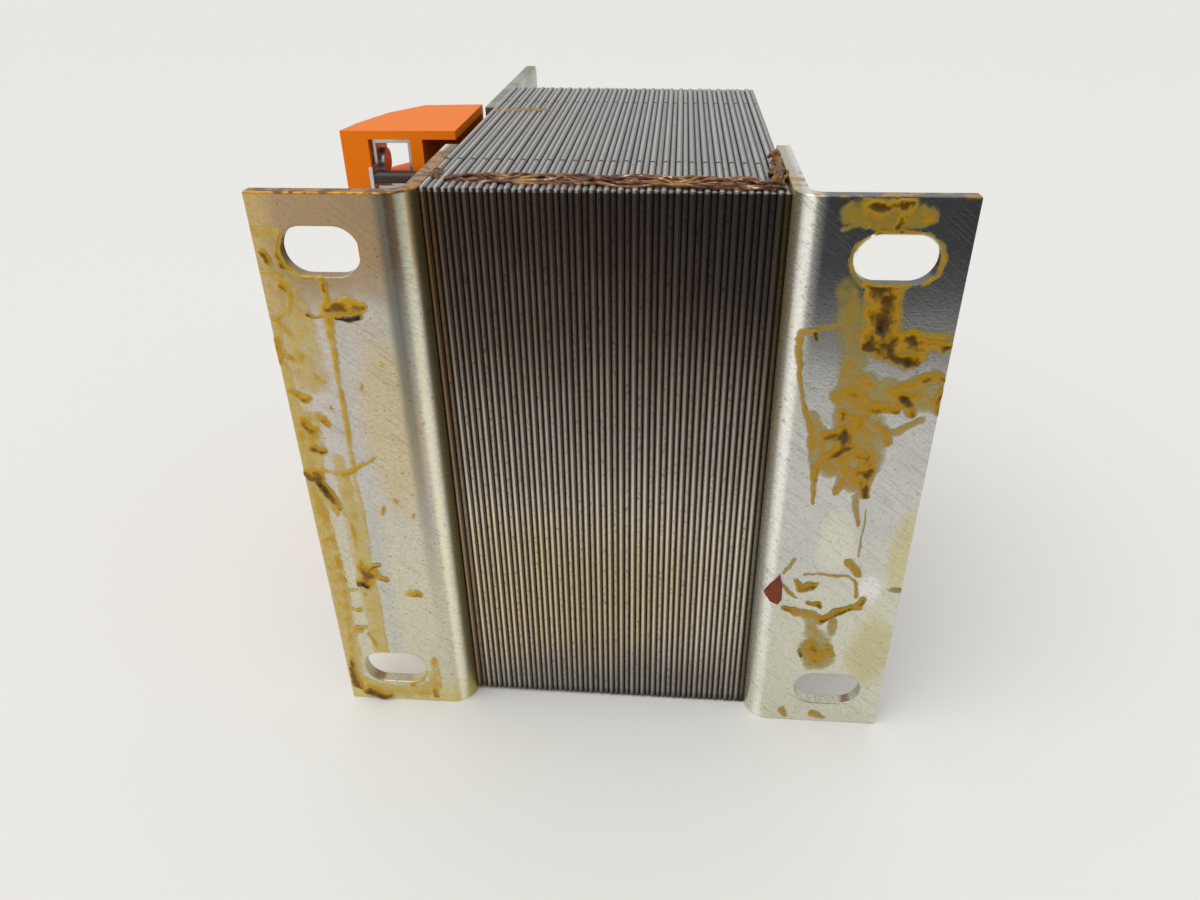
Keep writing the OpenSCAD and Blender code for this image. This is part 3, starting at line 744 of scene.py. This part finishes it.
left_varnish = varnish("left_foot_varnish", rgb(226, 200, 108), rgb(204, 156, 26), rgb(116, 80, 14))
right_varnish = varnish("right_foot_varnish", rgb(172, 152, 66), rgb(182, 136, 8), rgb(84, 60, 6))
varnish_skin("varnish_on_left_foot", -1, [
    (0.75, (-27.6, 25.4, 0.35), (-27.4, 22.5, 0.5), (-27.5, 21.2, 1.1), (-27.6, 20, 0.5)),
    (0.95, (-27.4, 21.6, 0.9), (-25.5, 22.2, 0.9), (-24.3, 22, 1.0), (-23.6, 22.1, 0.3)),
    (1.25, (-26.6, 20.9, 0.35), (-25.4, 20.8, 0.5), (-24.4, 20.8, 0.45)),
    (0.8, (-29.7, 20.9, 0.25), (-28.9, 20.8, 0.12), (-28, 21, 0.3)),
    (0.5, (-27.6, 20.4, 0.6), (-27.65, 17, 0.4), (-27.75, 10, 0.34), (-27.9, 3.4, 0.36)),
    (0.25, (-27.9, 4, 0.4), (-27.95, -6, 0.35), (-28, -25, 0.35)),
    (0.42, (-33.6, 29.6, 0.7), (-31.5, 29.5, 0.6), (-31.1, 29.7, 0.3)),
    (0.75, (-30.9, 29.4, 0.2), (-31.5, 27.8, 0.4), (-31.2, 26, 0.4), (-29.8, 25, 0.35), (-28.2, 24.9, 0.2)),
    (0.8, (-33.3, 27.4, 0.3), (-32.7, 26.9, 0.55), (-32.4, 26.2, 0.3)),
    (0.5, (-33.5, 25.5, 0.3), (-32.2, 25.3, 0.35), (-31.2, 24.3, 0.6), (-31, 22.9, 0.5), (-31.5, 21.3, 0.4),
     (-33.2, 20.4, 0.35)),
    (0.85, (-31.9, 24, 0.6), (-31.3, 23.4, 0.3)),
    (0.22, (-31, 24, 1.4), (-30.6, 19, 2.2), (-30.6, 14, 2.4)),
    (0.4, (-32.9, 20.2, 0.5), (-31.9, 18.7, 0.6), (-31.3, 16.5, 0.8), (-31.6, 14.8, 0.6)),
    (0.7, (-33.6, 18.2, 0.5), (-33.4, 17, 0.8), (-33.6, 15.6, 0.3)),
    (0.3, (-33.3, 19, 0.7), (-33.2, 10, 1.0), (-33.1, 3, 1.0), (-33, -3, 1.0)),
    (0.6, (-32.6, 16.4, 0.35), (-31.9, 15.7, 0.4)),
    (0.55, (-30, 14, 0.5), (-29.4, 13.5, 0.4)),
    (0.9, (-33.1, 12.3, 0.4), (-32.2, 11.8, 0.65), (-31.5, 11.5, 0.55)),
    (0.7, (-32.5, 8.6, 0.75), (-31.6, 7.4, 0.9), (-31.9, 6.2, 0.7)),
    (0.6, (-30.7, 9.4, 0.5), (-30.2, 8.8, 0.6), (-29.7, 8.2, 0.35)),
    (0.8, (-32.1, 5.1, 0.7), (-31.3, 4.9, 0.8), (-30.9, 4.8, 0.4)),
    (1.1, (-33.4, 1.9, 0.7), (-32.6, 1.8, 0.9), (-31.9, 1.5, 0.6)),
    (0.7, (-31.6, 2.3, 0.3), (-29.8, 1.9, 0.3), (-28.6, 2.1, 0.35), (-27.4, 2.8, 0.32), (-26.4, 3.5, 0.2),
     (-25.3, 4.3, 0.18)),
    (1.0, (-32.2, 0.9, 0.5), (-31.4, -0.6, 0.9), (-30.7, -2.1, 0.6), (-30.3, -2.9, 0.3)),
    (0.65, (-31.4, -1, 1.0), (-31, -2.6, 0.8), (-30.9, -3.6, 0.3)),
    (0.5, (-30, -3.4, 0.3), (-29.3, -5, 0.4), (-29.4, -7.6, 0.35), (-29.5, -9.6, 0.3)),
    (0.45, (-32.9, 0, 0.8), (-32.2, -5.5, 0.6), (-32, -11, 0.6), (-31.9, -15, 0.7), (-32.3, -20, 0.7),
     (-32.9, -26.5, 0.6)),
    (0.6, (-33.3, -7.5, 0.22), (-32.4, -7, 0.35), (-31.8, -6.3, 0.25)),
    (0.6, (-33.3, -8, 0.16), (-32.2, -8.4, 0.3), (-31.6, -8.9, 0.2)),
    (0.6, (-33.2, -11.6, 0.2), (-32.3, -11.5, 0.3)),
    (0.6, (-33.2, -12.3, 0.16), (-31.9, -12.6, 0.3), (-31.4, -13.4, 0.2)),
    (0.75, (-29.3, -11, 0.8), (-28.4, -12.2, 1.5), (-28.8, -13.3, 1.1)),
    (0.8, (-28.4, -11.5, 0.5), (-26.9, -10.8, 0.3)),
    (0.8, (-28, -12.6, 0.7), (-26.3, -13.2, 0.35)),
    (0.8, (-29.4, -11.4, 0.4), (-29.2, -10.3, 0.25)),
    (1.1, (-29.8, -13.7, 0.35), (-29.2, -13.6, 0.5), (-28.8, -13.9, 0.3)),
    (0.28, (-29.4, 4, 0.8), (-29, -4, 1.3), (-28.9, -15, 1.4), (-28.8, -24.6, 1.2)),
    (0.24, (-33, -4, 0.8), (-32.6, -14, 1.2), (-32.4, -24, 1.3), (-32.6, -30, 1.0)),
    (0.24, (-32, 9, 1.6), (-32.2, 5, 1.6), (-32.4, 1, 1.2)),
    (0.5, (-31.4, -14.8, 0.3), (-30.4, -14.7, 0.3)),
    (0.6, (-31.4, -17.9, 0.3), (-30.5, -17.9, 0.5)),
    (0.6, (-31.3, -20.6, 0.25), (-30, -20.8, 0.25)),
    (0.5, (-31.6, -21.3, 0.9), (-30.9, -21.4, 0.5)),
    (0.5, (-30, -22, 0.25), (-29.2, -24, 0.3)),
    (0.8, (-29.3, -15.4, 0.25), (-29.2, -15.6, 0.25)),
    (0.7, (-24, -15, 0.55), (-22.7, -15, 0.55)),
    (0.9, (-33.1, -26.2, 0.3), (-32.9, -27.3, 0.5), (-33.1, -28.2, 0.3)),
    (0.35, (-32.6, -29.4, 0.8), (-30, -31.5, 1.1), (-24.5, -31.6, 1.3), (-22.6, -30.5, 1.2)),
    (0.4, (-22.4, -30, 1.0), (-22, -27.4, 0.7), (-22.1, -26, 0.5)),
    (1.1, (-31.4, -31.9, 1.0), (-29.8, -32.3, 1.1), (-28.6, -32.4, 0.5)),
    (0.95, (-33.2, -27.6, 0.5), (-32.9, -29.2, 0.8), (-32.6, -31, 0.8)),
    (0.8, (-33.2, -30.2, 0.4), (-33, -31, 0.6)),
    (0.9, (-22.7, -31, 0.35), (-22.4, -32.3, 0.5)),
    (0.6, (-25.4, -30.3, 0.35), (-24, -29.2, 0.4), (-23.3, -28, 0.3)),
    (0.7, (-23.8, -1.5, 0.28), (-23.7, -1.6, 0.25)),
    (0.75, (-25.6, -3.3, 0.3), (-25.3, -2.6, 0.28)),
    (0.7, (-21.9, -3.7, 0.28), (-21.7, -3.3, 0.22)),
    (0.6, (-22.9, 15.5, 0.24), (-22.8, 15.8, 0.16)),
    (0.6, (-25.4, 12.7, 0.26), (-25.3, 13, 0.18)),
    (0.7, (-29.1, 10.3, 0.22), (-29.1, 10.4, 0.2)),
    (0.6, (-22.6, 2.3, 0.24), (-22.5, 2.4, 0.22)),
], left_varnish, 21)
varnish_skin("varnish_on_right_foot", 1, [
    (0.5, (23.8, 32.8, 0.7), (23.8, 31, 0.8), (25, 30.6, 0.5)),
    (0.75, (26.8, 32.9, 0.5), (27, 31.2, 0.7), (26.6, 30.6, 0.5)),
    (0.75, (25.2, 30, 0.4), (27, 30, 0.5), (28.6, 29.9, 0.5), (30, 29.7, 0.35)),
    (0.5, (30, 29.7, 0.3), (31.1, 28.8, 0.3), (31.4, 27.5, 0.35), (31.1, 26.2, 0.3), (30, 25.1, 0.3)),
    (0.4, (24.4, 29.7, 0.2), (23.3, 28.6, 0.25), (23, 27.5, 0.25), (23.3, 26.2, 0.25), (24.4, 25.1, 0.3)),
    (0.45, (22.6, 31.8, 1.2), (26.6, 31.8, 1.8), (29.4, 31.6, 1.0)),
    (0.95, (24, 32.4, 0.9), (27.4, 32.4, 1.0)),
    (0.3, (22, 30.2, 0.3), (24, 31, 0.5), (27.6, 32.6, 1.0)),
    (0.8, (24.7, 25.2, 0.6), (26.6, 24.6, 1.2), (28.4, 25, 0.5)),
    (0.95, (26.6, 24.4, 2.0), (26.6, 22, 2.1), (26.8, 20, 2.2), (28, 18.9, 1.7)),
    (1.2, (26.6, 20.6, 0.8), (27.2, 19.6, 0.8)),
    (0.9, (25.6, 19, 0.9), (27.6, 18.2, 0.9), (29.8, 17.2, 1.0), (31, 17.9, 0.7)),
    (0.85, (29, 19.4, 1.3), (31.2, 18.9, 0.9), (33.6, 19, 0.6)),
    (0.4, (29.6, 20.4, 0.6), (31.8, 20, 0.6), (33.6, 20, 0.4)),
    (0.3, (23.9, 21.8, 0.6), (24.1, 17, 0.9), (24.1, 12, 0.9), (24.1, 9, 0.9)),
    (0.25, (20.6, 20.4, 0.3), (22.4, 20.9, 0.5), (24, 21.4, 0.7)),
    (0.4, (24.5, 15.4, 1.2), (27, 14.4, 1.6), (29.2, 13.6, 1.8), (32, 13.6, 2.2), (33.4, 13.4, 2.2)),
    (0.5, (24, 13.4, 1.4), (25.6, 11.6, 1.8), (26.2, 9.4, 3), (26.4, 6, 3.2)),
    (0.4, (21.2, 11, 0.7), (22.4, 8.6, 1.2), (24, 5, 1.6)),
    (0.25, (23, 24.8, 1.2), (24, 21, 1.8), (24.6, 17, 1.8)),
    (0.6, (29.3, 14.3, 0.8), (31, 15, 0.9), (32.6, 15.7, 0.7), (33.6, 15.4, 0.5)),
    (0.8, (29.8, 13.4, 0.6), (30.8, 12, 0.8), (31.3, 11.2, 0.4)),
    (0.8, (33.5, 14.2, 0.5), (33.3, 12.6, 0.6), (33.6, 11.6, 0.3)),
    (0.5, (24.4, 14, 0.9), (26.6, 13, 1.2), (28.8, 12.4, 1.0), (30.2, 12.6, 0.8)),
    (0.75, (27, 11.8, 0.8), (28.4, 12, 0.7), (29.6, 11.6, 0.4)),
    (0.8, (24.3, 11.2, 0.7), (24.2, 10.4, 0.6)),
    (0.7, (22.4, 8.6, 0.8), (24.8, 8.6, 1.6), (25.2, 6, 1.8)),
    (0.85, (24.6, 9.4, 0.9), (25.4, 7.6, 0.9), (23.4, 6.4, 0.8)),
    (0.7, (27.6, 10.2, 0.7), (28.8, 9.4, 0.7), (29.3, 8, 0.5)),
    (0.65, (26.6, 6.6, 1.6), (27.6, 5, 1.5), (26.6, 3, 1.5)),
    (0.95, (28, 4.6, 0.8), (27.6, 3, 0.9), (27.8, 1.4, 0.6)),
    (0.6, (25.6, 4.6, 1.1), (25.2, 2.6, 0.8), (24.8, 1.6, 0.4)),
    (0.45, (29.4, 9.2, 0.5), (30.6, 9.8, 0.5), (32.2, 10.6, 0.4)),
    (0.5, (27, 1.2, 0.5), (27.2, -0.6, 0.4), (27.7, -2.6, 0.2)),
    (0.6, (22.8, 7, 0.7), (22.4, 4.6, 0.4), (22.5, 2, 0.3), (22.5, 0.2, 0.25)),
    (0.55, (19.4, 20.1, 0.35), (19.2, 19.4, 0.45), (19.3, 18, 0.4), (19.6, 16, 0.28), (20.1, 13, 0.3),
     (20.9, 10.6, 0.4), (21.6, 8.6, 0.6), (21.8, 6, 0.4), (22.3, 3, 0.3)),
    (1.0, (19.6, 20.2, 0.3), (20.5, 20.1, 0.4), (20.8, 19.4, 0.25)),
    (0.5, (28.3, -0.5, 0.12), (28.4, -6.8, 0.14)),
    (0.75, (27.4, -7.6, 0.6), (28.1, -8.5, 0.75), (28.6, -9.4, 0.5)),
    (0.5, (20.4, -9.4, 0.25), (21.3, -7.6, 0.3)),
    (0.55, (22.7, -9.8, 0.14), (25, -9.5, 0.18), (27.5, -9.7, 0.2), (28.6, -10.8, 0.22), (28.9, -12.4, 0.3)),
    (0.85, (21.8, -10.7, 0.3), (22.4, -11.7, 0.5), (23.6, -11.3, 0.6), (24.2, -10.9, 0.3)),
    (0.6, (20.2, -11, 0.2), (21.2, -12.4, 0.3), (22.2, -13.2, 0.2)),
    (0.8, (23.4, -13.8, 0.3), (24.6, -13.9, 0.5), (25, -14.4, 0.3)),
    (0.8, (20.7, -14.9, 0.3), (22.4, -15.3, 0.6), (24, -15.7, 0.8), (25.2, -16.3, 0.7), (26.4, -15.5, 0.6),
     (27.6, -14.6, 0.6), (29.2, -14.2, 0.6), (29.7, -13, 0.5)),
    (0.3, (23.9, -16.6, 0.8), (24.6, -18.4, 1.4), (25.4, -19.6, 1.7)),
    (0.3, (26.7, -16.6, 0.7), (26.8, -18.4, 0.6)),
    (0.7, (24.6, -20.3, 1.3), (24.9, -22, 1.5), (25.6, -22.2, 1.5)),
    (0.25, (25, -20.6, 2.2), (25.4, -22, 2.4)),
    (0.6, (26.6, -20.6, 0.6), (27, -21.8, 0.5)),
    (1.2, (23.2, -21.2, 0.25), (23.4, -22.2, 0.3)),
    (0.28, (25, -23.4, 1.4), (26.6, -22.8, 1.2)),
    (0.5, (26, -32, 0.6), (27.2, -32.5, 0.5)),
    (0.35, (22.2, -31.6, 0.6), (22.6, -32.6, 0.4)),
    (0.5, (32.6, -11.2, 0.2), (33.6, -11.3, 0.3)),
], right_varnish, 47)


# A chip of red-brown varnish has come to rest on the right foot's bend and stuck there.
chip_outline = [
    (19.9, -9.9), (20.3, -11.2), (20.4, -13.2), (20, -14), (19.1, -13.8), (18.4, -12.9), (18.9, -11.6),
]
chip_thick, chip_lift = 0.45, 0.12
bm = bmesh.new()
flat = bm.faces.new([
    bm.verts.new((
        x * mm,
        (bend_radius - np.sqrt(bend_radius ** 2 - max(0, bend_middle - x) ** 2) - chip_thick) * mm,
        z * mm,
    )) for x, z in chip_outline
])
lifted = bmesh.ops.extrude_face_region(bm, geom=[flat])["geom"]
bmesh.ops.translate(
    bm, vec=(0, (chip_thick + chip_lift) * mm, 0),
    verts=[g for g in lifted if isinstance(g, bmesh.types.BMVert)],
)
bmesh.ops.bevel(bm, geom=bm.edges, offset=0.1 * mm, segments=2, affect="EDGES", profile=0.5)
bmesh.ops.recalc_face_normals(bm, faces=bm.faces)
chip = bpy.data.meshes.new("varnish_chip")
bm.to_mesh(chip)
bm.free()
chip_paint = Paint("red_brown_varnish", Specular_IOR_Level=0.25)
scale = chip_paint.noise(0.5, detail=4, roughness=0.7)
chip_paint.set(
    Base_Color=chip_paint.mix(rgb(84, 28, 8), rgb(146, 64, 24), scale), Roughness=scale * 0.4 + 0.1
)
chip_paint.bump(scale, 0.8, 0.2)
add_piece("varnish_chip", chip, paint=chip_paint)


# The upper plate is a flat piece of the same plated strip, cut out round the coil and welded to the
# left side.
plate_zinc = zinc_plate("upper_plate_zinc", 0.2)
p = plate_zinc
shade = p.mix(rgb(182, 184, 176), rgb(168, 168, 154), p.cloud)
olive_end = p.step(p.cloud, 0.45, 0.6) * p.step(p.z, foot_end - 3, foot_end)
shade = p.mix(shade, rgb(138, 136, 100), olive_end * 0.8)
shade = p.mix(shade, rgb(120, 104, 66), p.step(p.y + p.cloud * 3, 46.5, 43.5) * 0.7)
p.set(Base_Color=shade)
softened("upper_plate", "flat_upper_plate", 0.12, plate_zinc)


# The coil is wound on a moulded bobbin that is locked on the middle limb with two wedges. Film tape
# closes it. The copper, the pressboard and the wedges hardly show between the tape and the cheeks.
def moulded(name, light, dark, size):
    """Plastic with a fine spark-eroded surface and a slightly cloudy colour."""
    paint = Paint(name, Specular_IOR_Level=0.15)
    grain = paint.noise(0.3, detail=2)
    paint.set(Base_Color=paint.mix(dark, light, paint.noise(size, detail=3)), Roughness=grain * 0.2 + 0.32)
    paint.bump(grain, 0.12, 0.03)
    return paint


def dress(node, paint):
    """Gives a CAD piece that keeps its own mesh its finish."""
    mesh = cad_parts[node].data
    mesh.materials.clear()
    mesh.materials.append(paint.material)


bobbin_plastic = moulded("bobbin_plastic", rgb(214, 122, 40), rgb(200, 108, 30), 5)
softened("bobbin", "moulded_bobbin", 0.12, bobbin_plastic)
tape = Paint("winding_tape", roughness=0.3)
edge = tape.noise(1.2, detail=2, stretch=(6, 0.4, 6))
tape.set(Base_Color=tape.mix(rgb(58, 46, 34), rgb(84, 64, 40), edge), Roughness=edge * 0.25 + 0.2)
tape.bump(edge, 0.3, 0.1)
dress("coil_tape", tape)
copper = Paint("enamelled_copper", metallic=0.9, roughness=0.35)
turns = copper.noise(0.5, detail=1, stretch=(20, 1, 20))
copper.set(Base_Color=copper.mix(rgb(150, 78, 38), rgb(196, 112, 62), turns))
copper.bump(turns, 0.4, 0.1)
dress("primary_winding", copper)
dress("secondary_winding", copper)
paper = Paint("pressboard", roughness=0.8)
fibre = paper.noise(0.6, detail=4)
paper.set(Base_Color=paper.mix(rgb(214, 200, 160), rgb(190, 172, 128), fibre))
paper.bump(fibre, 0.2, 0.05)
dress("winding_barrier", paper)
dress("coil_wedges", paper)


# The terminal housing is moulded in orange plastic and snapped on the bobbin's lugs. Each of its nine
# chambers holds a bright metal clamp with its screw, and the sleeved leads run along its inner side. The
# housing keeps its own mesh, because broken edges spoil its wire openings.
orange = moulded("orange_plastic", rgb(252, 130, 2), rgb(246, 122, 0), 6)
dress("terminal_housing", orange)
bright_metal = Paint("bright_terminal_metal", metallic=0.95)
scuff = bright_metal.noise(0.5, detail=3, stretch=(1, 3, 1))
bright_metal.set(
    Base_Color=bright_metal.mix(rgb(196, 198, 202), rgb(222, 222, 222), scuff), Roughness=scuff * 0.3 + 0.15
)
softened("terminal_clamps", "bright_clamps", 0.06, bright_metal)
softened("terminal_screws", "bright_screws", 0.06, bright_metal)
sleeve = Paint("varnished_sleeve", roughness=0.4)
weave = sleeve.noise(0.25, detail=2)
sleeve.set(Base_Color=sleeve.mix(rgb(38, 28, 24), rgb(66, 48, 38), weave))
sleeve.bump(weave, 0.4, 0.05)
dress("primary_leads", sleeve)
dress("secondary_leads", sleeve)


# The table is a plain white sheet, with soft light from all round and more from overhead and the front
# left. The bright metal mirrors a dark screen behind the camera, as it would a person standing there.
def stage_sheet(name, points, paint):
    """A flat sheet that isn't part of the transformer."""
    mesh = bpy.data.meshes.new(name)
    mesh.from_pydata([Vector(p) * mm for p in points], [], [range(len(points))])
    mesh.materials.append(paint.material)
    sheet = bpy.data.objects.new(name, mesh)
    scene.collection.objects.link(sheet)
    return sheet


floor_z = rest_z / mm
table_half = 1500
white = Paint("white_table", roughness=0.5)
white.set(Base_Color=rgb(240, 239, 235))
table_corners = ((-1, -1), (1, -1), (1, 1), (-1, 1))
stage_sheet("table", [(x * table_half, y * table_half, floor_z) for x, y in table_corners], white)

screen_y = -112
screen_left, screen_right, screen_top = -50, 220, 220
black = Paint("black_cloth", roughness=1.0)
black.set(Base_Color=rgb(30, 28, 27))
screen = stage_sheet("dark_screen", [
    (screen_left, screen_y, floor_z), (screen_right, screen_y, floor_z),
    (screen_right, screen_y, screen_top), (screen_left, screen_y, screen_top),
], black)
screen.visible_camera = False
screen.visible_diffuse = False
screen.visible_shadow = False

world = bpy.data.worlds.new("soft_light")
scene.world = world
world.use_nodes = True
sky = world.node_tree.nodes["Background"]
sky.inputs["Color"].default_value = (1, 0.998, 0.99, 1)
sky.inputs["Strength"].default_value = 0.62

window_data = bpy.data.lights.new("window", "SUN")
window_data.energy = 1.3
window_data.angle = np.radians(60)
window = bpy.data.objects.new("window", window_data)
window.rotation_euler = Vector((-0.45, -0.35, 1)).to_track_quat("Z", "Y").to_euler()
scene.collection.objects.link(window)
